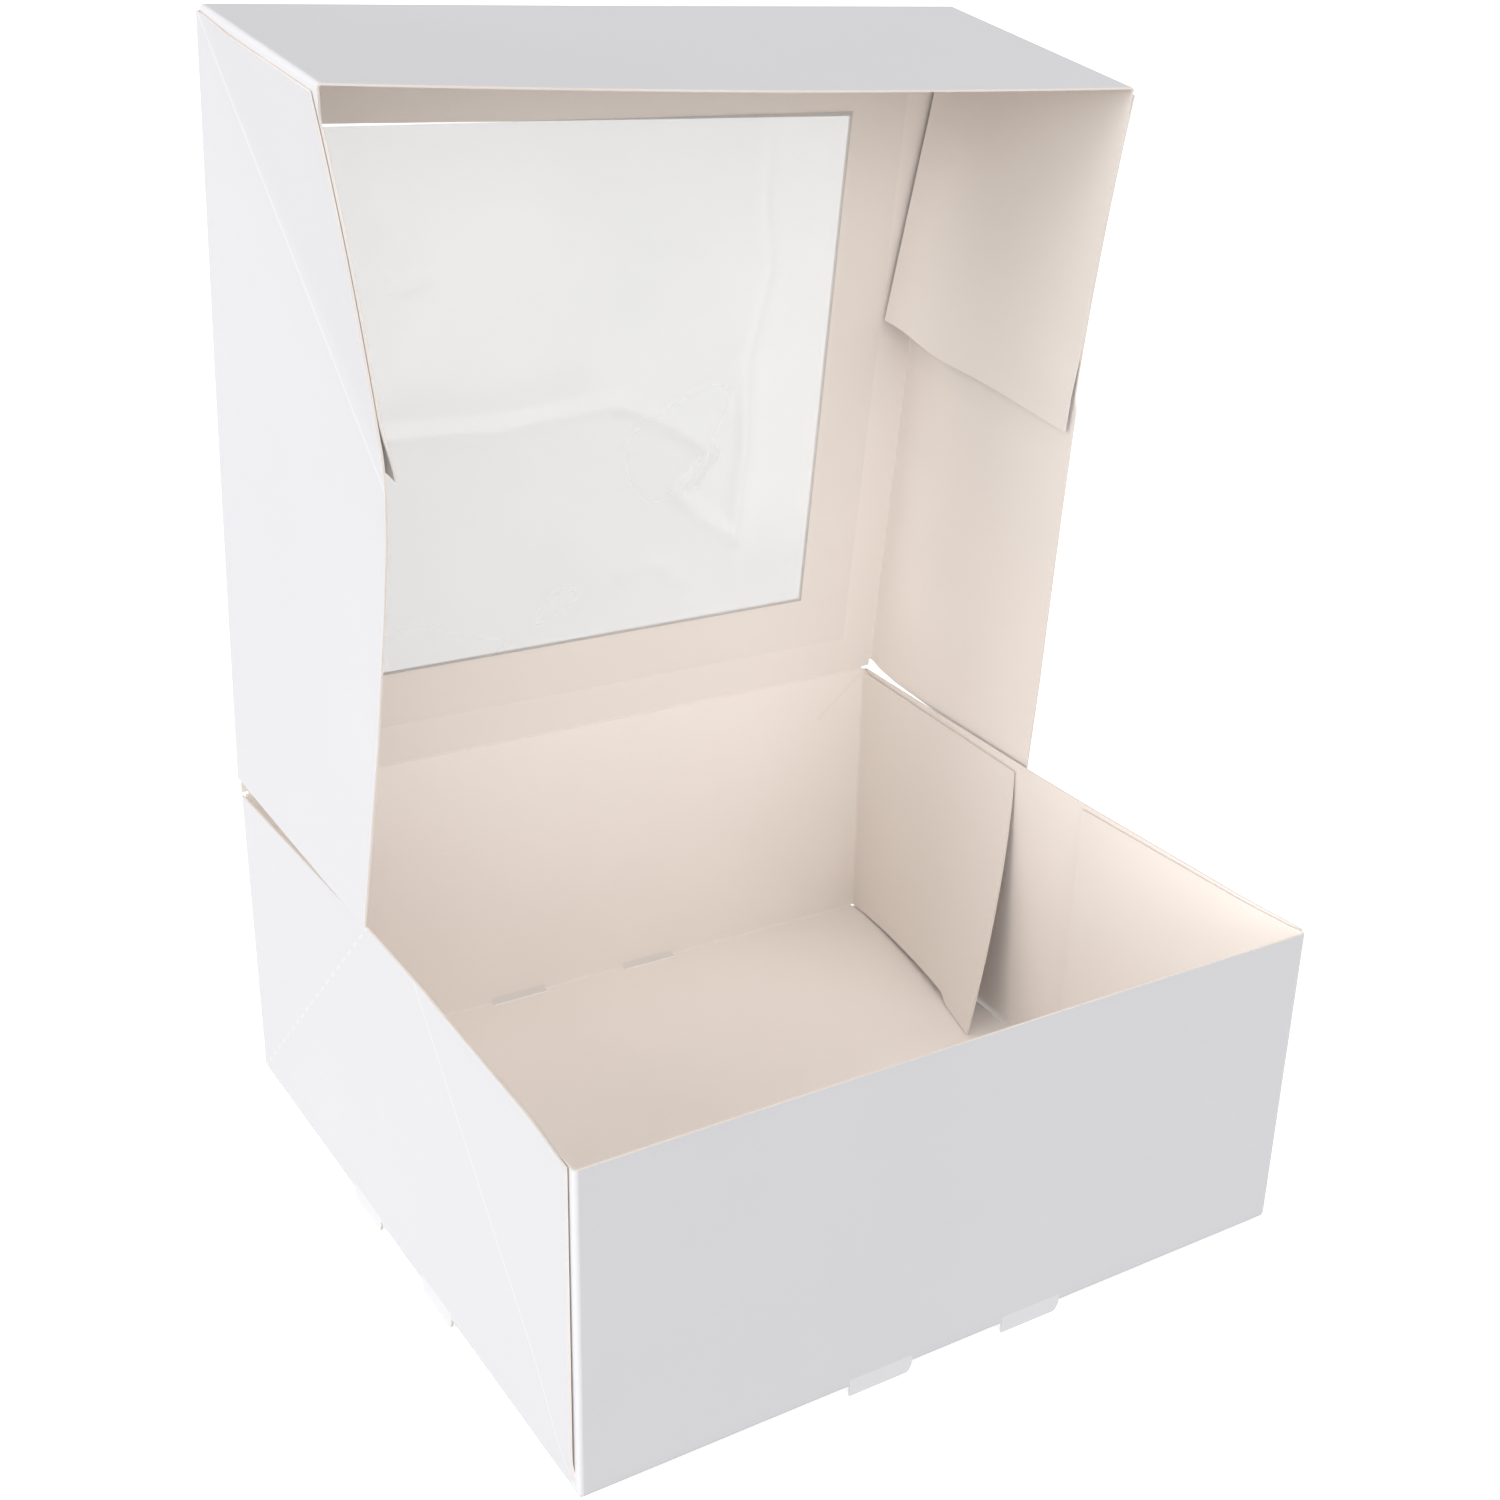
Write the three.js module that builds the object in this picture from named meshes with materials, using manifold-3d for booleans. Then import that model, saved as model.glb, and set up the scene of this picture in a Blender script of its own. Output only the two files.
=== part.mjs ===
// Folding paperboard pastry carton with a clear window in its lid, standing open.
// One die-cut board blank makes the tray and the lid. The two are modelled as two
// bodies that meet at the hinge crease along the top of the back wall. A clear film
// is glued inside the lid, over the window.
// Millimetres, +Z up, front wall at -Y, hinge at +Y, origin on the ground under the
// centre of the tray.

import * as THREE from "three";
import { mergeVertices } from "three/addons/utils/BufferGeometryUtils.js";
import Module from "manifold-3d";

const wasm = await Module();
wasm.setup();

// ---- driving dimensions ----
const TRAY_WIDTH = 200; // outside, across X
const TRAY_DEPTH = 198.4; // outside, along Y
const WALL_HEIGHT = 85; // underside of the bottom panel to the top of the walls
const BOARD = 0.5; // board thickness
const FOOT = 2.6; // how far the feet stand below the bottom panel
const FOOT_NEAR = 13.3; // start of each foot, from the middle of its wall
const FOOT_FAR = 30.8; // end of each foot, from the middle of its wall
const SLOT = 2.6; // width of the slot that each foot leaves in the bottom panel
const FOLD_OUT = 0.9; // outer radius of the folds along the bottom and the lid panel
const CORNER_OUT = 1.0; // outer radius of the folds at the upright corners
const GLUE = 0.3; // glue and spring gap between a side wall and the flap inside it
const FLAP_LENGTH = 85; // length of the glue flaps, from the corner
const FLAP_TAPER = 3; // how much narrower a flap is at its free end
const WALL_BOW = 1.5; // how far the middle of a tray side wall leans in at the top
const FLAP_SPRING = 12.5; // how far the free corner of a back flap springs inward

const LID_WIDTH = 203.3; // outside, across X
const LID_LENGTH = 201.5; // hinge axis to the outside of the lid's front wall
const LID_DEPTH = 82; // outside of the lid panel to the free edge of its walls
const LID_CLEAR = 0.8; // hinge axis above the top of the tray walls
const LID_START = 0.3; // start of the lid panel past the hinge axis
const RELIEF_NEAR = 2.5; // back edge of the lid's side walls: past the hinge at the panel
const RELIEF_FAR = 8.5; // and at the free edge
const LID_OPEN = 83; // degrees open from closed, as it stands

const WINDOW = 146; // square cut-out
const WINDOW_START = 28.5; // hinge axis to the cut-out
const FILM_WIDTH = 178.6;
const FILM_START = 12;
const FILM_LENGTH = 178.5;
const FILM = 0.2;

// ---- helpers ----
const hw = TRAY_WIDTH / 2;
const hd = TRAY_DEPTH / 2;
const z0 = FOOT;
const zt = FOOT + WALL_HEIGHT;
const rad = THREE.MathUtils.degToRad;

// A closed three.js geometry as a solid that can be joined and cut.
function solidOf(geometry) {
  const g = geometry.clone();
  g.deleteAttribute("normal");
  g.deleteAttribute("uv");
  const m = mergeVertices(g, 1e-4);
  return new wasm.Manifold(
    new wasm.Mesh({
      numProp: 3,
      vertProperties: Float32Array.from(m.attributes.position.array),
      triVerts: Uint32Array.from(m.index.array),
    }),
  );
}

function geometryOf(solid) {
  const m = solid.getMesh();
  const p = new Float32Array(m.numVert * 3);
  for (let i = 0; i < m.numVert; i++)
    p.set(m.vertProperties.subarray(i * m.numProp, i * m.numProp + 3), i * 3);
  const g = new THREE.BufferGeometry();
  g.setAttribute("position", new THREE.BufferAttribute(p, 3));
  g.setIndex(new THREE.BufferAttribute(Uint32Array.from(m.triVerts), 1));
  g.computeVertexNormals();
  return g;
}

// The union, without the empty slivers that rounding leaves where two pieces share a face.
const joined = (list) =>
  list
    .reduce((a, b) => a.add(b))
    .decompose()
    .sort((a, b) => b.volume() - a.volume())
    .filter((s) => s.volume() > 0.01)
    .reduce((a, b) => a.add(b));

// Extrudes an outline. "x": outline in (Y, Z), from x = from to x = to. "y": outline in
// (X, Z). "z": outline in (X, Y). warp moves each corner of the result.
function extrude(along, outline, from, to, holes = [], warp = null) {
  const shape = new THREE.Shape(outline.map(([a, b]) => new THREE.Vector2(a, b)));
  for (const hole of holes)
    shape.holes.push(new THREE.Path(hole.map(([a, b]) => new THREE.Vector2(a, b))));
  const g = new THREE.ExtrudeGeometry(shape, {
    depth: to - from,
    bevelEnabled: false,
    steps: 1,
  });
  const p = g.attributes.position;
  for (let i = 0; i < p.count; i++) {
    const a = p.getX(i),
      b = p.getY(i),
      d = p.getZ(i);
    if (along === "x") p.setXYZ(i, from + d, a, b);
    else if (along === "y") p.setXYZ(i, a, to - d, b);
    else p.setXYZ(i, a, b, from + d);
    if (warp) {
      const [x, y, z] = warp(p.getX(i), p.getY(i), p.getZ(i));
      p.setXYZ(i, x, y, z);
    }
    // a grid of 1/1024 mm keeps the corners that two pieces share identical
    p.setXYZ(i, ...[p.getX(i), p.getY(i), p.getZ(i)].map((v) => Math.round(v * 1024) / 1024));
  }
  return solidOf(g);
}

// Points of an arc, degrees, both ends included.
function arc(cx, cy, r, a0, a1, n = 4) {
  const out = [];
  for (let i = 0; i <= n; i++) {
    const a = rad(a0 + ((a1 - a0) * i) / n);
    out.push([cx + r * Math.cos(a), cy + r * Math.sin(a)]);
  }
  return out;
}

const mirrored = (points) => points.map(([a, b]) => [-a, b]).reverse();
const rIn = FOLD_OUT - BOARD;
const cIn = CORNER_OUT - BOARD;

// ---- tray ----
const flapFace = hw - BOARD - GLUE; // outer face of a tray flap
const cornerX = flapFace - CORNER_OUT; // centre of the upright corner folds

// Front wall, bottom and back wall in one bent strip.
const trayStrip = extrude(
  "x",
  [
    [-hd, zt],
    ...arc(-hd + FOLD_OUT, z0 + FOLD_OUT, FOLD_OUT, 180, 270),
    ...arc(hd - FOLD_OUT, z0 + FOLD_OUT, FOLD_OUT, 270, 360),
    [hd, zt],
    [hd - BOARD, zt],
    ...arc(hd - FOLD_OUT, z0 + FOLD_OUT, rIn, 360, 270),
    ...arc(-hd + FOLD_OUT, z0 + FOLD_OUT, rIn, 270, 180),
    [-hd + BOARD, zt],
  ],
  -cornerX,
  cornerX,
);

// How far a tray side wall leans in: the part between its diagonal creases turns about
// the bottom fold, and the triangles beside the corners turn about the upright folds.
const LOW = FOLD_OUT + 0.5; // the turn starts this far above the bottom, and from the corner
function lean(y, z) {
  const up = Math.max(0, z - z0 - LOW),
    along = Math.max(0, hd - Math.abs(y) - LOW);
  return (WALL_BOW * Math.min(up, along)) / (WALL_HEIGHT - LOW);
}
const cornerLean = (y) =>
  (WALL_BOW * Math.max(0, hd - Math.abs(y) - CORNER_OUT)) / (WALL_HEIGHT - LOW);

function trayEnd(side) {
  const inward = -side;
  const wallWarp = (x, y, z) => [x + inward * lean(y, z), y, z];
  const triWarp = (x, y, z) => [x + inward * cornerLean(y), y, z];
  const span = (a, b) => [Math.min(side * a, side * b), Math.max(side * a, side * b)];
  const parts = [];

  // bottom fold of the side wall, with a strip of the bottom panel
  const foot = [
    [hw, z0 + FOLD_OUT + 1],
    [hw - BOARD, z0 + FOLD_OUT + 1],
    ...arc(hw - FOLD_OUT, z0 + FOLD_OUT, rIn, 0, -90),
    [hw - 12, z0 + BOARD],
    [hw - 12, z0],
    ...arc(hw - FOLD_OUT, z0 + FOLD_OUT, FOLD_OUT, -90, 0),
  ].reverse();
  parts.push(
    extrude("y", side > 0 ? foot : mirrored(foot), -hd + FOLD_OUT + 0.3, hd - FOLD_OUT - 0.3),
  );

  // the wall: a middle panel and two triangles, meeting at the diagonal creases
  const yEnd = hd - 0.3,
    low = z0 + LOW,
    kink = hd - WALL_HEIGHT;
  const wallX = span(hw - BOARD, hw);
  parts.push(
    extrude(
      "x",
      [
        [-hd + LOW, low],
        [hd - LOW, low],
        [kink, zt],
        [-kink, zt],
      ],
      ...wallX,
      [],
      wallWarp,
    ),
  );
  for (const end of [-1, 1]) {
    const tri = [
      [end * yEnd, low],
      [end * (hd - LOW), low],
      [end * kink, zt],
      [end * yEnd, zt],
    ];
    parts.push(extrude("x", end > 0 ? tri.reverse() : tri, ...wallX, [], wallWarp));

    // the flap that folds round the corner from the front or back wall
    const turn = [
      [cornerX - 2, hd - BOARD],
      [cornerX - 2, hd],
      ...arc(cornerX, hd - CORNER_OUT, CORNER_OUT, 90, 0),
      [flapFace, hd - CORNER_OUT - 0.6],
      [flapFace - BOARD, hd - CORNER_OUT - 0.6],
      ...arc(cornerX, hd - CORNER_OUT, cIn, 0, 90),
    ];
    const turned = turn.map(([x, y]) => [side * x, end * y]);
    parts.push(
      extrude("z", side * end > 0 ? turned.reverse() : turned, z0 + BOARD + 0.7, zt),
    );
    const flapX = span(flapFace - BOARD, flapFace);
    const root = hd - CORNER_OUT,
      tip = hd - FLAP_LENGTH + 0.3;
    const bottomRoot = z0 + BOARD + 0.7,
      bottomTip = z0 + BOARD + 1.2;
    // glued part, above the diagonal crease
    const glued = [
      [end * root, bottomRoot],
      [end * (hd - FOLD_OUT - 1.2), bottomRoot],
      [end * (hd - (WALL_HEIGHT - FLAP_TAPER)), zt - FLAP_TAPER],
      [end * root, zt],
    ];
    parts.push(extrude("x", end > 0 ? glued.reverse() : glued, ...flapX, [], triWarp));
    // free part, below it
    const free = [
      [end * (hd - FOLD_OUT - 1.2), bottomRoot],
      [end * (tip + 4), bottomTip],
      [end * tip, bottomTip + 4],
      [end * tip, zt - FLAP_TAPER],
      [end * (hd - (WALL_HEIGHT - FLAP_TAPER)), zt - FLAP_TAPER],
    ];
    const spring = end > 0 ? FLAP_SPRING : 0.6;
    const gap0 = hd - FOLD_OUT - 1.2,
      gap1 = hd - (WALL_HEIGHT - FLAP_TAPER);
    const slope = (zt - FLAP_TAPER - bottomRoot) / (gap0 - gap1);
    const freeWarp = (x, y, z) => {
      const under = bottomRoot + (gap0 - Math.abs(y)) * slope - z;
      const below = under > 0.001 ? under : 0;
      return [
        x + inward * (cornerLean(y) + (spring * below) / WALL_HEIGHT),
        y,
        z,
      ];
    };
    parts.push(extrude("x", end > 0 ? free.reverse() : free, ...flapX, [], freeWarp));
    // glue between the wall and the flap
    const glue = [
      [end * (hd - 3), z0 + 12],
      [end * (hd - 70), zt - 9],
      [end * (hd - 3), zt - 5],
    ];
    parts.push(
      extrude(
        "x",
        end > 0 ? glue.reverse() : glue,
        ...span(flapFace - 0.1, hw - BOARD + 0.1),
        [],
        triWarp,
      ),
    );
  }
  return joined(parts);
}

// A foot: part of the wall that goes on below the bottom fold, square at one end and
// rounded at the other.
function footOutline(a, b) {
  const r = 2;
  return [
    [a, z0 + FOLD_OUT + 1],
    [a, 0],
    ...arc(b - r, r, r, 270, 360),
    [b, z0 + FOLD_OUT + 1],
  ];
}

let tray = joined([trayStrip, trayEnd(-1), trayEnd(1)]);
const slots = [],
  feet = [];
for (const dir of [-1, 1])
  for (const at of [-1, 1]) {
    const [a, b] = at < 0 ? [-FOOT_FAR, -FOOT_NEAR] : [FOOT_NEAR, FOOT_FAR];
    const rect = (u0, u1, v0, v1) => [
      [u0, v0],
      [u1, v0],
      [u1, v1],
      [u0, v1],
    ];
    const y0 = dir < 0 ? -hd + BOARD : hd - BOARD - SLOT;
    slots.push(extrude("z", rect(a, b, y0, y0 + SLOT), z0 - 1, z0 + FOLD_OUT + 0.2));
    feet.push(
      extrude("y", footOutline(a, b), dir < 0 ? -hd : hd - BOARD, dir < 0 ? -hd + BOARD : hd),
    );
    const x0 = dir < 0 ? -hw + BOARD : hw - BOARD - SLOT;
    slots.push(extrude("z", rect(x0, x0 + SLOT, a, b), z0 - 1, z0 + FOLD_OUT + 0.2));
    const side = footOutline(-b, -a).map(([u, v]) => [-u, v]).reverse();
    feet.push(
      extrude(
        "x",
        side,
        dir < 0 ? -hw : hw - BOARD,
        dir < 0 ? -hw + BOARD : hw,
        [],
        (x, y, z) => [x - dir * lean(y, Math.min(z, z0 + FOLD_OUT)), y, z],
      ),
    );
  }
tray = tray.subtract(joined(slots)).add(joined(feet));

// ---- lid, in its closed position with the hinge axis on the X axis ----
const lw = LID_WIDTH / 2;
const lidFlap = lw - BOARD - GLUE; // outer face of a lid flap
const lidCornerX = lidFlap - CORNER_OUT;

// Lid panel and front wall in one bent strip, with the window cut out.
const lidStrip = extrude(
  "x",
  [
    [-LID_START, 0],
    ...arc(-LID_LENGTH + FOLD_OUT, -FOLD_OUT, FOLD_OUT, 90, 180),
    [-LID_LENGTH, -LID_DEPTH],
    [-LID_LENGTH + BOARD, -LID_DEPTH],
    ...arc(-LID_LENGTH + FOLD_OUT, -FOLD_OUT, rIn, 180, 90),
    [-LID_START, -BOARD],
  ],
  -lidCornerX,
  lidCornerX,
);
const windowCut = extrude(
  "z",
  [
    [-WINDOW / 2, -WINDOW_START - WINDOW],
    [WINDOW / 2, -WINDOW_START - WINDOW],
    [WINDOW / 2, -WINDOW_START],
    [-WINDOW / 2, -WINDOW_START],
  ],
  -2,
  1,
);

function lidEnd(side) {
  const span = (a, b) => [Math.min(side * a, side * b), Math.max(side * a, side * b)];
  const parts = [];
  const fold = [
    [lw, -FOLD_OUT],
    ...arc(lw - FOLD_OUT, -FOLD_OUT, FOLD_OUT, 0, 90).slice(1),
    [lw - 12, 0],
    [lw - 12, -BOARD],
    ...arc(lw - FOLD_OUT, -FOLD_OUT, rIn, 90, 0),
  ];
  parts.push(
    extrude("y", side > 0 ? fold : mirrored(fold), -LID_LENGTH + FOLD_OUT + 0.3, -RELIEF_NEAR),
  );
  parts.push(
    extrude(
      "z",
      [
        [side * (lw - 12), -8],
        [side * (lw - 12), -LID_START],
        [side * (lidCornerX - 1), -LID_START],
        [side * (lidCornerX - 1), -8],
      ][side > 0 ? "reverse" : "slice"](),
      -BOARD,
      0,
    ),
  );
  // side wall, with its back edge cut back from the hinge
  parts.push(
    extrude(
      "x",
      [
        [-LID_LENGTH + 0.3, -FOLD_OUT],
        [-LID_LENGTH + 0.3, -LID_DEPTH],
        [-RELIEF_FAR, -LID_DEPTH],
        [-RELIEF_NEAR, -FOLD_OUT],
      ],
      ...span(lw - BOARD, lw),
    ),
  );
  // the flap that folds round the corner from the lid's front wall
  const root = -LID_LENGTH + CORNER_OUT;
  const turn = [
    [lidCornerX - 2, -LID_LENGTH],
    ...arc(lidCornerX, root, CORNER_OUT, 270, 360),
    [lidFlap, root + 0.6],
    [lidFlap - BOARD, root + 0.6],
    ...arc(lidCornerX, root, cIn, 360, 270),
    [lidCornerX - 2, -LID_LENGTH + BOARD],
  ];
  parts.push(extrude("z", side > 0 ? turn : mirrored(turn), -LID_DEPTH, -BOARD - 0.7));
  parts.push(
    extrude(
      "x",
      [
        [root, -BOARD - 0.7],
        [root, -LID_DEPTH],
        [-LID_LENGTH + FLAP_LENGTH, -LID_DEPTH + FLAP_TAPER],
        [-LID_LENGTH + FLAP_LENGTH, -BOARD - 2.5],
      ],
      ...span(lidFlap - BOARD, lidFlap),
    ),
  );
  parts.push(
    extrude(
      "x",
      [
        [-LID_LENGTH + 3, -12],
        [-LID_LENGTH + 3, -LID_DEPTH + 5],
        [-LID_LENGTH + 68, -LID_DEPTH + 8],
      ],
      ...span(lidFlap - 0.1, lw - BOARD + 0.1),
    ),
  );
  return joined(parts);
}

const lid = joined([lidStrip, lidEnd(-1), lidEnd(1)]).subtract(windowCut);

// ---- window film, inside the lid panel ----
const filmTop = -BOARD - GLUE;
const film = extrude(
  "z",
  [
    [-FILM_WIDTH / 2, -FILM_START - FILM_LENGTH],
    [FILM_WIDTH / 2, -FILM_START - FILM_LENGTH],
    [FILM_WIDTH / 2, -FILM_START],
    [-FILM_WIDTH / 2, -FILM_START],
  ],
  filmTop - FILM,
  filmTop,
);

// ---- scene graph ----
const boardMaterial = (color) =>
  new THREE.MeshStandardMaterial({ color, roughness: 0.8, metalness: 0 });

const carton = new THREE.Group();

const trayMesh = new THREE.Mesh(geometryOf(tray), boardMaterial(0xf1ece9));
trayMesh.name = "tray";
carton.add(trayMesh);

const lidGroup = new THREE.Group();
lidGroup.position.set(0, hd, zt + LID_CLEAR);
lidGroup.rotation.x = -rad(LID_OPEN);
carton.add(lidGroup);

const lidMesh = new THREE.Mesh(geometryOf(lid), boardMaterial(0xf3eeeb));
lidMesh.name = "lid";
lidGroup.add(lidMesh);

const filmMesh = new THREE.Mesh(
  geometryOf(film),
  new THREE.MeshStandardMaterial({
    color: 0xe9ebea,
    roughness: 0.08,
    metalness: 0,
    transparent: true,
    opacity: 0.35,
  }),
);
filmMesh.name = "window_film";
lidGroup.add(filmMesh);

export default carton;
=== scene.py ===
import math

import bpy
import numpy as np
from mathutils import Matrix


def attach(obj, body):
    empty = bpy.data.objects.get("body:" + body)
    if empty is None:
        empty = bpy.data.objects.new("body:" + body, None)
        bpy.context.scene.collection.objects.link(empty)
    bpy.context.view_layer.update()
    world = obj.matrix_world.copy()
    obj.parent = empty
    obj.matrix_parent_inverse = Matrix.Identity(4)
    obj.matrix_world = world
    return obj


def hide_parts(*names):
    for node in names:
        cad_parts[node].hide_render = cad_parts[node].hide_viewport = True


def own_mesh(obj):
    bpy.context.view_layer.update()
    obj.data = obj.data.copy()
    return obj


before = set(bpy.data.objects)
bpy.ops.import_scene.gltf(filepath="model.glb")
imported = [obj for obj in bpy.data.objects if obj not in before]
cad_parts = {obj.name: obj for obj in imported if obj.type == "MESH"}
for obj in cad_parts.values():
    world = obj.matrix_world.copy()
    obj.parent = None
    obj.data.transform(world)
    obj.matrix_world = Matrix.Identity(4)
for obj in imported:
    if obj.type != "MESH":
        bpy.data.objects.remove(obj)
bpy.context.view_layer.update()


scene = bpy.context.scene

# ---------------------------------------------------------------- camera
# The photograph's viewpoint: millimetres, angles in degrees, focal length in pixels of a
# frame 1500 wide, and the point where the line of sight crosses that frame.
CAM_POS = (-252.7, -416.3, 336.9)
CAM_AZ, CAM_EL, CAM_ROLL = -35.4347, 25.0742, 3.1001
CAM_F, CAM_CX, CAM_CY = 2118.06, 895.14, 792.235

a, e, r = (math.radians(v) for v in (CAM_AZ, CAM_EL, CAM_ROLL))
back = np.array([math.sin(a) * math.cos(e), -math.cos(a) * math.cos(e), math.sin(e)])
right = np.cross([0, 0, 1.0], back)
right /= np.linalg.norm(right)
up = np.cross(back, right)
right, up = (
    right * math.cos(r) + up * math.sin(r),
    -right * math.sin(r) + up * math.cos(r),
)
cam = bpy.data.objects.new("camera", bpy.data.cameras.new("camera"))
scene.collection.objects.link(cam)
m = np.eye(4)
m[:3, 0], m[:3, 1], m[:3, 2] = right, up, back
m[:3, 3] = np.array(CAM_POS) / 1000
cam.matrix_world = Matrix(m.tolist())
cam.data.sensor_fit = "HORIZONTAL"
cam.data.sensor_width = 36
cam.data.lens = CAM_F / 1500 * 36
cam.data.shift_x = (750 - CAM_CX) / 1500
cam.data.shift_y = (CAM_CY - 750) / 1500
cam.data.clip_start = 0.01
cam.data.clip_end = 100
scene.camera = cam

# ---------------------------------------------------------------- sizes, millimetres
W, D = 200.0, 198.4  # tray outside
HW, HD = W / 2, D / 2
FOOT = 2.6
Z0 = FOOT  # underside of the bottom panel
WALL = 85.3
ZT = 87.8
T = 0.5
RO = 0.95  # outer fold radius along the bottom
RC = 1.05  # outer fold radius at the corners
FLAP_X = HW - T - 0.3  # outer face of a tray flap
CX = FLAP_X - RC
TAB0, TAB1 = 13.3, 30.8
SLOT = 1.6
HINGE = (0.0, HD, 88.4)
OPEN = math.radians(83.0)
LW = 203.3 / 2
DL = 201.5
HL = 82.0
LFLAP = LW - T - 0.3
LCX = LFLAP - RC
WIN0, WIN1 = 28.6, 174.0  # the window, along the panel
WINL, WINR = -73.9, 71.8  # and across it
FILM_X, FILM_S0, FILM_S1 = 89.3, 12.0, 190.5

OUT, IN, EDGE = 0, 1, 2


def smooth(t):
    t = np.clip(t, 0, 1)
    return t * t * (3 - 2 * t)


# ---------------------------------------------------------------- mesh building
class Board:
    """Gathers closed thin shells of board into one mesh."""

    def __init__(self):
        self.v, self.f, self.m, self.uv, self.n = [], [], [], [], 0
        self.sharp = []

    def shell(self, P, N, t, mask=None, uv=None, mats=(OUT, IN, EDGE)):
        """P: outer face points (a, b, 3); N: outward normals. t: thickness."""
        P = np.asarray(P, float)
        N = np.asarray(N, float)
        N = N / np.linalg.norm(N, axis=2, keepdims=True)
        A, B = P.shape[:2]
        if mask is None:
            mask = np.ones((A - 1, B - 1), bool)
        if uv is None:
            uv = np.full((A, B, 2), 500.0)
        inner = P - N * t
        ii, jj = np.nonzero(mask)
        du = P[ii + 1, jj] - P[ii, jj]
        dv = P[ii, jj + 1] - P[ii, jj]
        sign = np.sum(np.cross(du, dv) * N[ii, jj], axis=1)
        flip = np.median(sign) < 0
        idx = np.arange(A * B).reshape(A, B)
        off = A * B
        q = np.stack([idx[ii, jj], idx[ii + 1, jj], idx[ii + 1, jj + 1], idx[ii, jj + 1]], 1)
        if flip:
            q = q[:, ::-1]
        faces = [q, q[:, ::-1] + off]
        mat = [np.full(len(q), mats[0]), np.full(len(q), mats[1])]
        pad = np.zeros((A + 1, B + 1), bool)
        pad[1:-1, 1:-1] = mask
        edges = []
        for di, dj, a0, a1 in (
            (-1, 0, (0, 1), (0, 0)),
            (1, 0, (1, 0), (1, 1)),
            (0, -1, (0, 0), (1, 0)),
            (0, 1, (1, 1), (0, 1)),
        ):
            open_side = ~pad[ii + 1 + di, jj + 1 + dj]
            i, j = ii[open_side], jj[open_side]
            s = idx[i + a0[0], j + a0[1]]
            e_ = idx[i + a1[0], j + a1[1]]
            # the outer quad runs s -> e_ in its own order unless flipped
            if flip:
                s, e_ = e_, s
            edges.append(np.stack([e_, s, s + off, e_ + off], 1))
        edges = np.concatenate(edges)
        faces.append(edges)
        mat.append(np.full(len(edges), mats[2]))
        F = np.concatenate(faces)
        M = np.concatenate(mat)
        V = np.concatenate([P.reshape(-1, 3), inner.reshape(-1, 3)])
        UV = np.concatenate([uv.reshape(-1, 2)] * 2)
        used, inv = np.unique(F, return_inverse=True)
        F = inv.reshape(F.shape)
        E = edges
        remap = np.full(len(V), -1)
        remap[used] = np.arange(len(used))
        E = remap[E]
        self.v.append(V[used])
        self.uv.append(UV[used])
        self.f.append(F + self.n)
        self.m.append(M)
        self.sharp.append(np.concatenate([E[:, [0, 1]], E[:, [1, 2]], E[:, [2, 3]], E[:, [3, 0]]]) + self.n)
        self.n += len(used)

    def make(self, name, materials, place=None):
        V = np.concatenate(self.v)
        if place is not None:
            V = place(V)
        F = np.concatenate(self.f)
        M = np.concatenate(self.m)
        UV = np.concatenate(self.uv)
        me = bpy.data.meshes.new(name)
        me.from_pydata((V / 1000).tolist(), [], F.tolist())
        me.update()
        for mat in materials:
            me.materials.append(mat)
        me.polygons.foreach_set("material_index", M.astype(np.int32))
        me.polygons.foreach_set("use_smooth", np.ones(len(F), bool))
        layer = me.uv_layers.new(name="board_mm")
        lv = np.empty(len(me.loops), np.int32)
        me.loops.foreach_get("vertex_index", lv)
        layer.data.foreach_set("uv", UV[lv].astype(np.float32).ravel())
        ev = np.empty(len(me.edges) * 2, np.int32)
        me.edges.foreach_get("vertices", ev)
        ev = np.sort(ev.reshape(-1, 2), axis=1).astype(np.int64)
        key = ev[:, 0] * len(V) + ev[:, 1]
        S = np.sort(np.concatenate(self.sharp), axis=1).astype(np.int64)
        skey = np.unique(S[:, 0] * len(V) + S[:, 1])
        flags = np.isin(key, skey)
        attr = me.attributes.get("sharp_edge") or me.attributes.new("sharp_edge", "BOOLEAN", "EDGE")
        attr.data.foreach_set("value", flags)
        me.validate()
        ob = bpy.data.objects.new(name, me)
        scene.collection.objects.link(ob)
        return ob


def spaced(*stops, step=2.5):
    """Sorted values that pass through every stop, about step apart."""
    out = [stops[0]]
    for a_, b_ in zip(stops, stops[1:]):
        n = max(1, int(math.ceil((b_ - a_) / step - 1e-6)))
        out += [a_ + (b_ - a_) * k / n for k in range(1, n + 1)]
    return np.array(out)


def arc_pts(cx, cy, rad, a0, a1, n=5):
    ang = np.radians(np.linspace(a0, a1, n + 1))
    return [(cx + rad * np.cos(t), cy + rad * np.sin(t), np.cos(t), np.sin(t)) for t in ang]


# ---------------------------------------------------------------- tray
LOW = RO + 0.5


def wall_lean(y, z, b=1.5):
    upz = np.maximum(0, z - Z0 - LOW)
    along = np.maximum(0, HD - np.abs(y) - LOW)
    k = 2.0
    soft = -k * np.log(np.exp(-upz / k) + np.exp(-along / k))
    return b * np.clip(soft, 0, None) / (WALL - LOW)


FRONT_WIDE = 0.95  # the front corners stand out this far past the side walls


def corner_lean(y, b=1.5):
    return b * np.maximum(0, HD - np.abs(y) - RC) / (WALL - LOW)


tray = Board()

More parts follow.
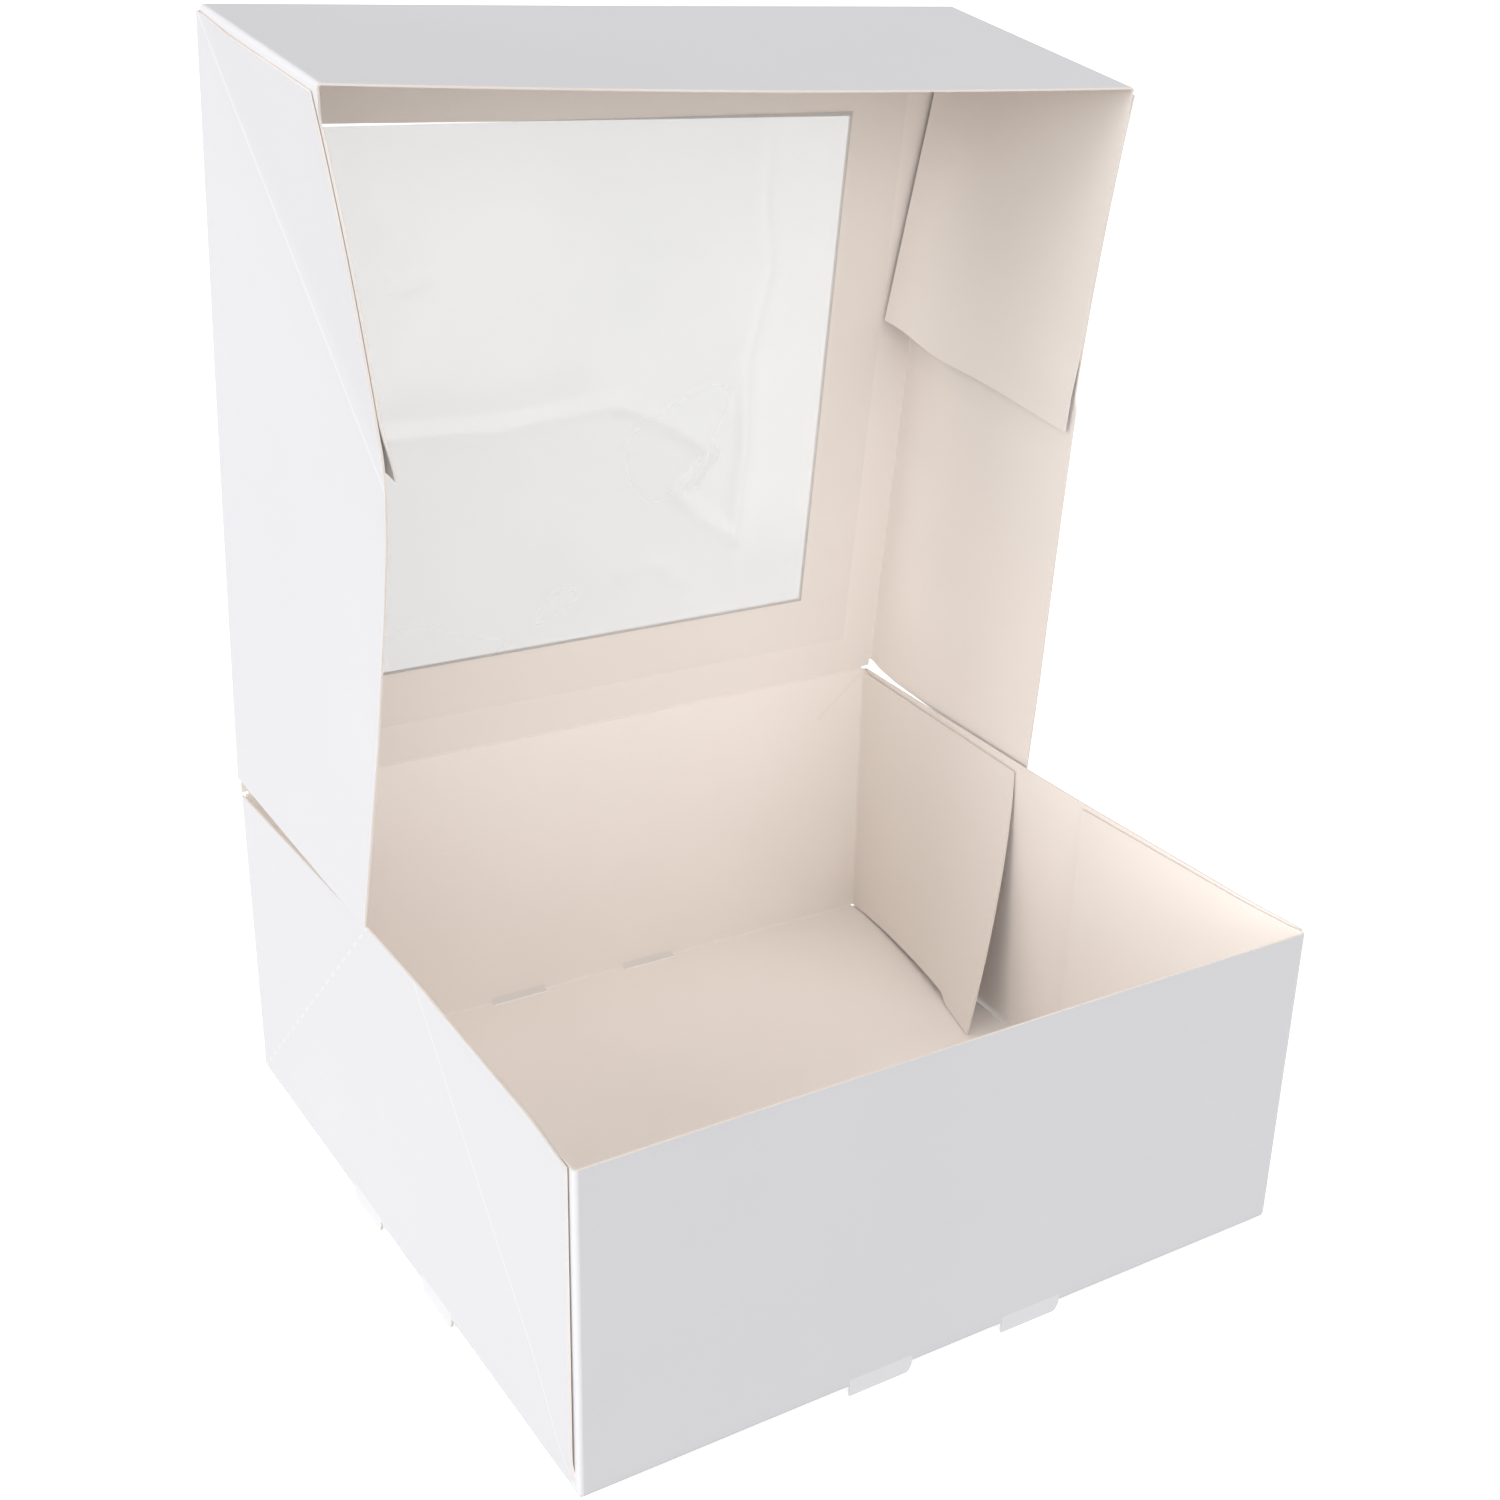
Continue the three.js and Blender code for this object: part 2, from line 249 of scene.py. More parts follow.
# front wall, bottom and back wall: rows along the path, columns across X
path = []  # (y, z, ny, nz)
for z in spaced(Z0 + RO + 1.2, Z0 + 12, ZT - 1, ZT, step=3)[::-1]:
    path.append((-HD, z, -1, 0))
n_front = len(path)
path += arc_pts(-HD + RO, Z0 + RO, RO, 180, 270)
n_fold1 = len(path)
for y in spaced(-HD + RO + 0.3, -HD + T + SLOT, -TAB1, -TAB0, TAB0, TAB1, HD - T - SLOT, HD - RO - 0.3, step=3):
    path.append((y, Z0, 0, -1))
n_bottom = len(path)
path += arc_pts(HD - RO, Z0 + RO, RO, 270, 360)
n_fold2 = len(path)
for z in spaced(Z0 + RO + 1.2, Z0 + 12, ZT - 1, 87.85, step=3):
    path.append((HD, z, 1, 0))
path = np.array(path)
CXF = CX + FRONT_WIDE
SX = HW - T - SLOT
xs = spaced(-CXF, -HW + RO, -CX, -SX, -TAB1, -TAB0, TAB0, TAB1, SX, CX, HW - RO, CXF, step=3)
xs = np.unique(np.round(xs, 4))
A, B = len(path), len(xs)
P = np.zeros((A, B, 3))
N = np.zeros((A, B, 3))
P[:, :, 0] = xs[None, :]
P[:, :, 1] = path[:, 0:1]
P[:, :, 2] = path[:, 1:2]
N[:, :, 1] = path[:, 2:3]
N[:, :, 2] = path[:, 3:4]
# the walls sag a little between the corners, and the bottom panel is not quite flat
up_front = np.clip((P[:, :, 2] - Z0 - 3) / WALL, 0, 1) * (np.abs(N[:, :, 1]) > 0.9)
belly = np.cos(np.clip(P[:, :, 0] / HW, -1, 1) * math.pi / 2)
P[:, :, 1] += np.where(P[:, :, 1] < 0, 1, -1) * up_front * belly * np.where(P[:, :, 1] < 0, 0.7, 0.35)
flat = (np.abs(N[:, :, 2]) > 0.99)
P[:, :, 2] += flat * (0.35 * np.cos(P[:, :, 0] / HW * math.pi / 2) * np.cos(P[:, :, 1] / HD * math.pi / 2))
mask = np.ones((A - 1, B - 1), bool)
xm = (xs[:-1] + xs[1:]) / 2
row = np.arange(A - 1)
in_bottom = (row >= n_fold1 - 1) & (row < n_bottom)
mask[np.ix_(in_bottom, np.abs(xm) > HW - RO)] = False
mask[np.ix_(row >= n_bottom - 1, np.abs(xm) > CX)] = False
tab_x = (np.abs(xm) > TAB0) & (np.abs(xm) < TAB1)
ym = (path[:-1, 0] + path[1:, 0]) / 2
zm = (path[:-1, 1] + path[1:, 1]) / 2
slot_row = (np.abs(ym) > HD - T - SLOT) & (zm < Z0 + RO + 1.2)
mask[np.ix_(slot_row, tab_x)] = False
side_rows = in_bottom & (np.abs(ym) > TAB0) & (np.abs(ym) < TAB1)
mask[np.ix_(side_rows, np.abs(xm) > SX)] = False
uvb = np.full((A, B, 2), 500.0)
# an old stress crease inside the back wall, below the hinge
ca, cb = np.array([99.4, 87.4]), np.array([83.9, 74.8])
cd = (cb - ca) / np.linalg.norm(cb - ca)
rel = np.stack([P[:, :, 0] - ca[0], P[:, :, 2] - ca[1]], 2)
along_c, off_c = rel @ cd, rel @ np.array([-cd[1], cd[0]])
close = (P[:, :, 1] > 90) & (along_c > -4) & (along_c < 24) & (np.abs(off_c) < 9)
uvb[:, :, 0] = 400 + np.where(close, off_c, np.where(off_c > 0, 60.0, -60.0))
uvb[:, :, 1] = 400
tray.shell(P, N, T, mask, uvb)

# the crease of the hinge, between the back wall and the lid panel
hinge = Board()
hx = spaced(-CX, CX, step=3)
hz = np.array([87.5, 87.85, 88.1, 88.25, 88.4, 88.55, 88.75, 89.0])
hy = HD - 0.12 * np.clip(hz - 88.4, 0, None) + 0.1 * np.exp(-(((hz - 88.4) / 0.22) ** 2))
P = np.array([[(x_, y_, z_) for x_ in hx] for y_, z_ in zip(hy, hz)])
N = np.zeros_like(P)
N[:, :, 1] = 1
hinge.shell(P, N, T)

# a thin rim along each slot in the bottom panel, where the die leaves a lip; its near-white colour is a painted
# highlight of light catching the rim
def lip(a_, b_):
    a_, b_ = np.array(a_, float), np.array(b_, float)
    ls = np.linspace(0, 1, 9)
    ring = np.radians(np.linspace(-20, 200, 7))
    line_ = a_ + (b_ - a_) * ls[:, None]
    flat_ = np.cross(b_ - a_, [0, 0, 1.0])
    flat_ /= np.linalg.norm(flat_)
    n_ = flat_ * np.cos(ring)[:, None] + np.array([0, 0, 1.0]) * np.sin(ring)[:, None]
    Pl = line_[:, None, :] + 0.27 * n_[None, :, :]
    tray.shell(Pl, np.repeat(n_[None], 9, 0), 0.12, mats=(3, 3, 3))


for sgn in (-1, 1):
    for t0, t1 in ((-TAB1, -TAB0), (TAB0, TAB1)):
        e_y = sgn * (HD - T - SLOT - 0.15)
        lip((t0, e_y, Z0 + T), (t1, e_y, Z0 + T))
        e_x = sgn * (SX - 0.15)
        lip((e_x, t0, Z0 + T), (e_x, t1, Z0 + T))

# feet: the wall goes on below the fold
def foot(fixed, axis, sgn, a0, a1, round_high=True):
    us = spaced(a0, (a0 + a1) / 2, a1 - 2.2, a1, step=0.8) if round_high else spaced(a0, a0 + 2.2, (a0 + a1) / 2, a1, step=0.8)
    vs = np.linspace(0, 1, 6)
    Pf = np.zeros((len(us), len(vs), 3))
    Nf = np.zeros_like(Pf)
    rr = 2.0
    far = (us - (a1 - rr)) if round_high else ((a0 + rr) - us)
    low = np.where(far > 0, rr - np.sqrt(np.maximum(0, rr * rr - np.clip(far, 0, rr) ** 2)), 0)
    top = Z0 + RO + 1.2
    for k, v in enumerate(vs):
        z = low + (top - low) * v
        Pf[:, k, 2] = z
        Pf[:, k, axis] = us
        Pf[:, k, 1 - axis] = sgn * fixed
        Nf[:, k, 1 - axis] = sgn
    tray.shell(Pf, Nf, T)


for sgn in (-1, 1):
    foot(HD, 0, sgn, -TAB1, -TAB0)
    foot(HD, 0, sgn, TAB0, TAB1)
    foot(HW, 1, sgn, -TAB1, -TAB0, round_high=False)
    foot(HW, 1, sgn, TAB0, TAB1, round_high=False)

# side walls with their bottom folds
for sgn in (-1, 1):
    pth = arc_pts(0, 0, RO, 270, 360)
    rows = [(HW - RO + p[0], Z0 + RO + p[1], p[2], p[3]) for p in pth]
    for z in spaced(Z0 + RO + 1.2, Z0 + 12, ZT - 1, ZT, step=2):
        rows.append((HW, z, 1, 0))
    rows = np.array(rows)
    ys = spaced(-HD + 2.2, -HD + 4, -TAB1, -TAB0, TAB0, TAB1, HD - 3, HD - 0.35, step=1.8)
    A, B = len(rows), len(ys)
    P = np.zeros((A, B, 3))
    N = np.zeros((A, B, 3))
    P[:, :, 0] = sgn * rows[:, 0:1]
    P[:, :, 1] = ys[None, :]
    P[:, :, 2] = rows[:, 1:2]
    N[:, :, 0] = sgn * rows[:, 2:3]
    N[:, :, 2] = rows[:, 3:4]
    # near the bottom the wall reaches further towards the corner
    reach = 1.8 * (1 - smooth((P[:, :, 2] - Z0 - 1.0) / 6))
    P[:, :, 1] -= reach * np.clip((-HD + 12 - P[:, :, 1]) / 10, 0, 1)
    lean = wall_lean(P[:, :, 1], P[:, :, 2])
    P[:, :, 0] -= sgn * lean
    # the cut front edge stands off the fold behind it, more towards the bottom
    hgt = np.clip((P[:, :, 2] - Z0) / WALL, 0, 1)
    flare = (1 - smooth((P[:, :, 1] + HD - 1) / 24)) * (0.95 + 0.15 * (1 - hgt)) * smooth((P[:, :, 2] - Z0 - 1.0) / 9)
    P[:, :, 0] += sgn * flare
    uv = np.zeros((A, B, 2))
    uv[:, :, 0] = HD - np.abs(P[:, :, 1])
    uv[:, :, 1] = P[:, :, 2] - Z0
    uv[:, :, 0] += np.where(P[:, :, 1] > 0, 1000.0, 0.0)
    mask = np.ones((A - 1, B - 1), bool)
    ymid = (ys[:-1] + ys[1:]) / 2
    tab = (np.abs(ymid) > TAB0) & (np.abs(ymid) < TAB1)
    zmid = (rows[:-1, 1] + rows[1:, 1]) / 2
    mask[np.ix_(zmid < Z0 + RO + 1.2, tab)] = False
    # bottom fold stops short of the corners
    cut = (np.abs(ymid) > HD - 1.1)
    mask[np.ix_(zmid < Z0 + RO * 0.9, cut)] = False
    tray.shell(P, N, T, mask, uv)


def tray_flap(side, end, top_len, low_len, spring):
    """end: -1 the flap of the front wall, +1 the flap of the back wall."""
    wide = FRONT_WIDE if end < 0 else 0.0
    vs = np.linspace(0, 1, 40)
    length = low_len + (top_len - low_len) * vs  # by height, bottom first
    full = low_len
    rows = []  # x, nx, ny, and y as a fraction of the straight part or a fixed place
    for px, py, nx, ny in arc_pts(0, 0, RC, 90, 0, 6):
        rows.append((CX + wide + px, nx, ny, HD - RC + py, None))
    for q in spaced(0.004, 0.035, 0.93, 1.0, step=0.021):
        rows.append((FLAP_X + wide * (1 - float(smooth(q * full / 24))), 1, 0, None, q))
    A = len(rows)
    x = np.repeat(np.array([r_[0] for r_ in rows])[:, None], len(vs), 1)
    nx = np.repeat(np.array([r_[1] for r_ in rows])[:, None], len(vs), 1)
    ny = np.repeat(np.array([r_[2] for r_ in rows])[:, None], len(vs), 1)
    y = np.zeros((A, len(vs)))
    for k, r_ in enumerate(rows):
        y[k] = r_[3] if r_[4] is None else HD - RC - r_[4] * (length - RC)
    dist = HD - y
    if end < 0:
        top = ZT - 0.35 * smooth((dist - 1) / 6) - 1.0 * dist / full
        bot = Z0 + T + 0.5 + 0.9 * dist / full
    else:
        top = ZT - 1.1 * smooth((dist - 0.6) / 3) - 1.7 * dist / full
        # the lower edge rises, then steps back down to the corner that touches the floor
        bot = Z0 + T + 0.35 + 1.9 * np.clip(dist / 64, 0, 1) - 2.0 * smooth((dist - 64) / 7)
    z = bot + (top - bot) * vs[None, :]
    d = np.maximum(0, (dist - (z - Z0))) / math.sqrt(2)
    x = x - corner_lean(y) - spring * (d / 59.4) ** 1.6
    P = np.stack([side * x, end * y, z], 2)
    n = np.cross(np.gradient(P, axis=0), np.gradient(P, axis=1))
    n /= np.linalg.norm(n, axis=2, keepdims=True)
    base = np.stack([side * nx, end * ny, np.zeros_like(nx)], 2)
    n *= np.sign(np.sum(n * base, axis=2, keepdims=True))
    tray.shell(P, n, T, None, np.full(P.shape[:2] + (2,), 500.0))


for side in (-1, 1):
    tray_flap(side, -1, 85.2, 86.0, 0.8)
    tray_flap(side, 1, 81.8, 86.8 if side > 0 else 86.0, 13.3 if side > 0 else 10.5)

# ---------------------------------------------------------------- lid
def place_lid(V):
    """Lid coordinates (x, s along the panel, w depth) to the row frame at rest."""
    s, w = V[:, 1], V[:, 2]
    y = HINGE[1] - s * math.cos(OPEN) - w * math.sin(OPEN)
    z = HINGE[2] + s * math.sin(OPEN) - w * math.cos(OPEN)
    return np.stack([V[:, 0], y, z], 1)


def lid_shift(P):
    """The lid's lasting warp: skew and twist of the panel, and its pulled front corners."""
    x, s, w = P[..., 0], P[..., 1], P[..., 2]
    side = np.clip(x / LW, -1, 1)
    lft, rgt = np.maximum(-side, 0), np.maximum(side, 0)
    far = np.clip(s / DL, 0, 1)
    near = np.clip((s - 120) / 80, 0, 1)
    deep = np.clip(w / 80, 0, 1)
    dish = np.cos(side * math.pi / 2) * np.sin(far * math.pi)
    dish = np.clip(dish - 0.08, 0, 1)
    dw = -1.2 * lft * far**1.3 + 0.5 * dish * np.clip(1 - w / 20, 0, 1)
    ds = -0.8 * side * far + deep * near**1.5 * (1.9 * lft - 1.6 * rgt - 0.9 * (1 - side**2))
    dx = -1.7 * lft * deep * near**3 - 0.4 * rgt * deep * near**1.5
    dx = dx + 0.8 * rgt * far**6 + 0.7 * lft * np.clip(1 - s / 120, 0, 1) ** 1.5
    return np.stack([x + dx, s + ds, w + dw], -1)


def front_depth(x):
    """Depth of the lid's front wall."""
    return 77.2 + 1.8 * np.clip(x / LW, -1, 1)


DEPTH_LEFT = (
    [0, 60, 119, 125.7, 130, 141.5, 155, 167.5, 177.5, 188, 201],
    [84.2, 83, 82.3, 81.1, 80.4, 79.3, 77.9, 76.4, 75.0, 73.6, 71.8],
)
DEPTH_RIGHT = ([0, 60, 118, 121, 201], [84.2, 83, 82, 80.6, 79])


def side_depth(side, s):
    return np.interp(s, *(DEPTH_LEFT if side < 0 else DEPTH_RIGHT))


panel = Board()
rows = []
for s in spaced(0.3, 1.0, WIN0 - 16.5, WIN0, 101.5, WIN1, DL - 12, DL - RO, step=3):
    rows.append((s, 0.0, 0, -1))
n_panel = len(rows)
for px, py, nx, ny in arc_pts(0, 0, RO, 270, 360):
    rows.append((DL - RO + px, RO + py, nx, ny))
n_lfold = len(rows)
K = 28
for k in range(1, K + 1):
    rows.append((DL, None, 1, k / K))
xs = spaced(-LW + RO, -LCX, -FILM_X, WINL, 0, WINR, FILM_X, LCX, LW - RO, step=3)
A, B = len(rows), len(xs)
P = np.zeros((A, B, 3))
N = np.zeros((A, B, 3))
for i, rr in enumerate(rows):
    P[i, :, 0] = xs
    if rr[1] is None:
        P[i, :, 1] = DL
        P[i, :, 2] = RO + (front_depth(xs) - RO) * rr[3]
        N[i, :, 1] = 1
    else:
        P[i, :, 1] = rr[0]
        P[i, :, 2] = rr[1]
        N[i, :, 1] = rr[2]
        N[i, :, 2] = rr[3]
mask = np.ones((A - 1, B - 1), bool)
xm = (xs[:-1] + xs[1:]) / 2
sm = np.array([(rows[i][0] + rows[i + 1][0]) / 2 for i in range(A - 1)])
is_panel = np.arange(A - 1) < n_panel - 1
mask[np.ix_(~is_panel, np.abs(xm) > LCX)] = False
mask[np.ix_(is_panel & (sm > WIN0) & (sm < WIN1), (xm > WINL) & (xm < WINR))] = False
# the far side of the window is cut slightly askew
P[:, :, 1] -= 1.25 * (P[:, :, 0] / LW) * np.exp(-(((P[:, :, 1] - WIN1) / 10) ** 2)) * (P[:, :, 2] < 0.3)
P = lid_shift(P)
uv = np.full(P.shape[:2] + (2,), 500.0)
panel.shell(P, N, T, mask, uv)

# lean of a lid side wall at its free edge, by distance from the hinge
LEAN_LEFT = ([0, 4, 30, 60, 90, 107, 126], [1.5, 1.6, 4.1, 6.9, 8.9, 9.7, 9.7])
LEAN_RIGHT = ([0, 10, 38, 85, 113, 120], [1.2, 1.4, 1.8, 3.3, 3.9, 3.9])


def glued_lean(side, t_):
    """Lean of the part in front of the diagonal crease, by distance from the front."""
    if side < 0:
        return 10.4 * t_ / HL
    return 3.9 * (1 - (1 - np.clip(t_ / HL, 0, 1)) ** 1.8)


def side_back(side, w):
    """Where the side wall's cut back edge lies, by depth."""
    if side < 0:
        return 5.4 + 0.05 * w
    return np.interp(w, [0, 3, 6, 15.6, 45, 80], [2.6, 2.4, 1.7, 1.5, 3.6, 6.2])


def side_front(side, w):
    """Where its cut front edge lies: set back a little from the front wall."""
    return DL - 1.5 - (0.9 if side < 0 else 0.5) * np.clip(w / 20, 0, 1)


def side_columns(side):
    a_, b_ = float(side_back(side, RO)), float(side_front(side, RO))
    return spaced(a_, a_ + 2.5, DL - HL, DL - 6, b_, step=1.8)


def facing(P, base):
    n_ = np.cross(np.gradient(P, axis=0), np.gradient(P, axis=1))
    n_ /= np.linalg.norm(n_, axis=2, keepdims=True)
    return n_ * np.sign(np.sum(n_ * base, axis=2, keepdims=True))


# the folds that join the side walls and the flaps to the panel piece
for side in (-1, 1):
    ss = side_columns(side)
    arc = arc_pts(0, 0, RO, 270, 360)
    P = np.array([[(side * (LW - RO + q[0]), s_, RO + q[1]) for s_ in ss] for q in arc])
    N = np.array([[(side * q[2], 0, q[3]) for s_ in ss] for q in arc])
    panel.shell(lid_shift(P), N, T)
    arc = arc_pts(0, 0, RC, 90, 0, 6)
    ws = np.linspace(T + 0.5, float(front_depth(side * LCX)), 32)
    P = np.array([[(side * (LCX + q[0]), DL - RC + q[1], w_) for w_ in ws] for q in arc])
    N = np.array([[(side * q[2], q[3], 0) for w_ in ws] for q in arc])
    panel.shell(lid_shift(P), N, T)


def lid_side(side):
    b = Board()
    K = 46
    ss = side_columns(side)
    part = (ss - ss[0]) / (ss[-1] - ss[0])
    P = np.zeros((K + 1, len(ss), 3))
    for i in range(K + 1):
        s = ss
        for _ in range(3):
            w = RO + (side_depth(side, s) - RO) * i / K
            s = side_back(side, w) + part * (side_front(side, w) - side_back(side, w))
        P[i] = np.stack([side * LW + 0 * s, s, w], 1)
    P[0, :, 1] = ss
    uv = np.stack([DL - P[:, :, 1], P[:, :, 2]], 2)
    mid = np.interp(P[:, :, 1], *(LEAN_LEFT if side < 0 else LEAN_RIGHT)) * (P[:, :, 2] - RO) / HL
    P[:, :, 0] -= side * np.minimum(glued_lean(side, DL - P[:, :, 1]), mid)
    P = lid_shift(P)
    n = facing(P, np.array([side, 0, 0.0]))
    n[0] = (side, 0, 0)
    b.shell(P, n, T, None, uv)
    return b


def lid_flap(side):
    """The flap from the front wall, glued inside the triangle of the side wall."""
    b = Board()
    Q = 60
    vs = np.linspace(0, 1, 44)
    span = np.linspace(0, 1, Q + 1)[:, None]
    reach = 80.5 + 0 * vs if side < 0 else 86.4 + 3.7 * smooth(vs * 80 / 25)
    s = DL - RC - span * (reach - RC)[None, :]
    dist = DL - s
    root = float(front_depth(side * LCX))
    low = T + 0.5 + smooth((dist - RC) / 30)
    high = np.minimum(side_depth(side, s) + 0.3, 80.9)
    high = root + (high - root) * smooth((dist - RC) / 8)
    w = low + (high - low) * vs[None, :]
    t_ = dist - RC
    glued = glued_lean(side, t_)
    free = glued + 0.05 * t_ if side < 0 else 0.6 * smooth(t_ / 8) + 0.115 * t_
    off = np.clip((t_ - w) / np.maximum(t_ - 2, 4), 0, 1) ** 3
    tip = (1.6 if side < 0 else 1.0) * smooth((dist - 66) / 16) * smooth((w - 38) / 40)
    x = LFLAP - glued - (free - glued) * off - tip
    P = lid_shift(np.stack([side * x, s, w], 2))
    n = facing(P, np.array([side, 0, 0.0]))
    n[0] = (side, 0, 0)
    b.shell(P, n, T)
    return b


# ---------------------------------------------------------------- film
film = Board()
fs = spaced(FILM_S0, WIN0 - 0.4, WIN1 + 0.4, FILM_S1, step=1.1)
fx = spaced(-FILM_X, WINL - 0.4, WINR + 0.4, FILM_X, step=1.1)
X, S = np.meshgrid(fx, fs)
u = (X + FILM_X) / (2 * FILM_X)
v = (S - FILM_S0) / (FILM_S1 - FILM_S0)
inside = smooth((73 - np.abs(X + 1)) / 22) * smooth((73 - np.abs(S - 101.3)) / 22)
wave = (
    0.55 * np.sin(5.1 * u + 2.6 * v + 0.8 + 0.9 * np.sin(3.3 * v + 1.0))
    + 0.35 * np.sin(8.3 * v - 3.1 * u + 2.0 + 1.1 * np.sin(4.1 * u))
    + 0.18 * np.sin(15.0 * u + 4.0 * v + 1.3 * np.sin(7.0 * v))
)
Wd = T + 0.32 + inside * (0.75 + 0.75 * wave)


def wrinkle(pts, width, high):
    """A soft ridge in the film along a line of (x, s) points."""
    pts = np.array(pts, float)
    q = np.stack([X, S], 2)
    best = np.full(X.shape, 1e9)
    for a_, b_ in zip(pts[:-1], pts[1:]):
        d_ = b_ - a_
        h_ = np.clip(((q - a_) @ d_) / (d_ @ d_), 0, 1)
        best = np.minimum(best, np.linalg.norm(q - a_ - h_[:, :, None] * d_, axis=2))
    return high * np.exp(-((best / width) ** 2))


Wd = Wd + inside * (
    wrinkle([(48, 190), (46.6, 152), (50.4, 134), (45.2, 107), (46.7, 80), (45.5, 53)], 2.2, 0.55)
    + wrinkle([(-60, 96), (-28, 95), (4.9, 98.5), (20, 92.5), (29.4, 86.6), (35.3, 81), (31, 74.5), (26.2, 70), (34, 62), (45.5, 53.5)], 2.4, 0.6)
    + wrinkle([(10, 46), (18, 50), (24, 47), (30, 42)], 2.2, 0.45)
    + wrinkle([(-63, 142), (-60, 150), (-52, 152), (-46, 145), (-48, 138), (-56, 135), (-63, 139)], 2.6, 0.4)
)
P = lid_shift(np.stack([X, S, Wd], 2))
n = np.cross(np.gradient(P, axis=0), np.gradient(P, axis=1))
n /= np.linalg.norm(n, axis=2, keepdims=True)
n *= np.sign(-n[:, :, 2:3])
fsm, fxm = (fs[:-1] + fs[1:]) / 2, (fx[:-1] + fx[1:]) / 2
clear = np.outer((fsm > WIN0 - 0.4) & (fsm < WIN1 + 0.4), (fxm > WINL - 0.4) & (fxm < WINR + 0.4))
# lighter patches on the film: a painted reflection of the box's right wall, with a soft edge along bound
bound = np.interp(S, [53, 80, 107, 134, 152, 190], [45.5, 46.7, 45.2, 50.4, 46.6, 48])
painted_reflection = smooth((X - bound + 5) / 10) * smooth((S - 40) / 30)
film.shell(P, n, 0.1, clear, np.stack([painted_reflection, 0 * painted_reflection], 2), mats=(0, 0, 0))
film.shell(P, n, 0.1, ~clear, np.full(P.shape[:2] + (2,), 500.0), mats=(1, 1, 1))

# ---------------------------------------------------------------- materials
def principled(name):
    mat = bpy.data.materials.new(name)
    mat.use_nodes = True
    nt = mat.node_tree
    bsdf = nt.nodes.get("Principled BSDF")
    return mat, nt, bsdf


def ramp(nt, fac, lo, hi, c0, c1):
    r_ = nt.nodes.new("ShaderNodeValToRGB")
    r_.color_ramp.elements[0].position = lo
    r_.color_ramp.elements[1].position = hi
    r_.color_ramp.elements[0].color = (*c0, 1)
    r_.color_ramp.elements[1].color = (*c1, 1)
    nt.links.new(fac, r_.inputs["Fac"])
    return r_.outputs["Color"]


def noise(nt, coord, scale, detail=4, rough=0.55, stretch=None):
    src = coord
    if stretch:
        mp = nt.nodes.new("ShaderNodeMapping")
        mp.inputs["Scale"].default_value = stretch
        nt.links.new(coord, mp.inputs["Vector"])
        src = mp.outputs["Vector"]
    n_ = nt.nodes.new("ShaderNodeTexNoise")
    n_.inputs["Scale"].default_value = scale
    n_.inputs["Detail"].default_value = detail
    n_.inputs["Roughness"].default_value = rough
    nt.links.new(src, n_.inputs["Vector"])
    return n_.outputs["Fac"]


def math_node(nt, op, a_, b_=None, clamp=False):
    n_ = nt.nodes.new("ShaderNodeMath")
    n_.operation = op
    n_.use_clamp = clamp
    for k, v_ in enumerate((a_, b_)):
        if v_ is None:
            continue
        if isinstance(v_, (int, float)):
            n_.inputs[k].default_value = v_
        else:
            nt.links.new(v_, n_.inputs[k])
    return n_.outputs[0]


def line(nt, value, width):
    """1 on the line value = 0, falling to 0 at width."""
    d_ = math_node(nt, "ABSOLUTE", value)
    d_ = math_node(nt, "DIVIDE", d_, width)
    return math_node(nt, "SUBTRACT", 1.0, d_, clamp=True)


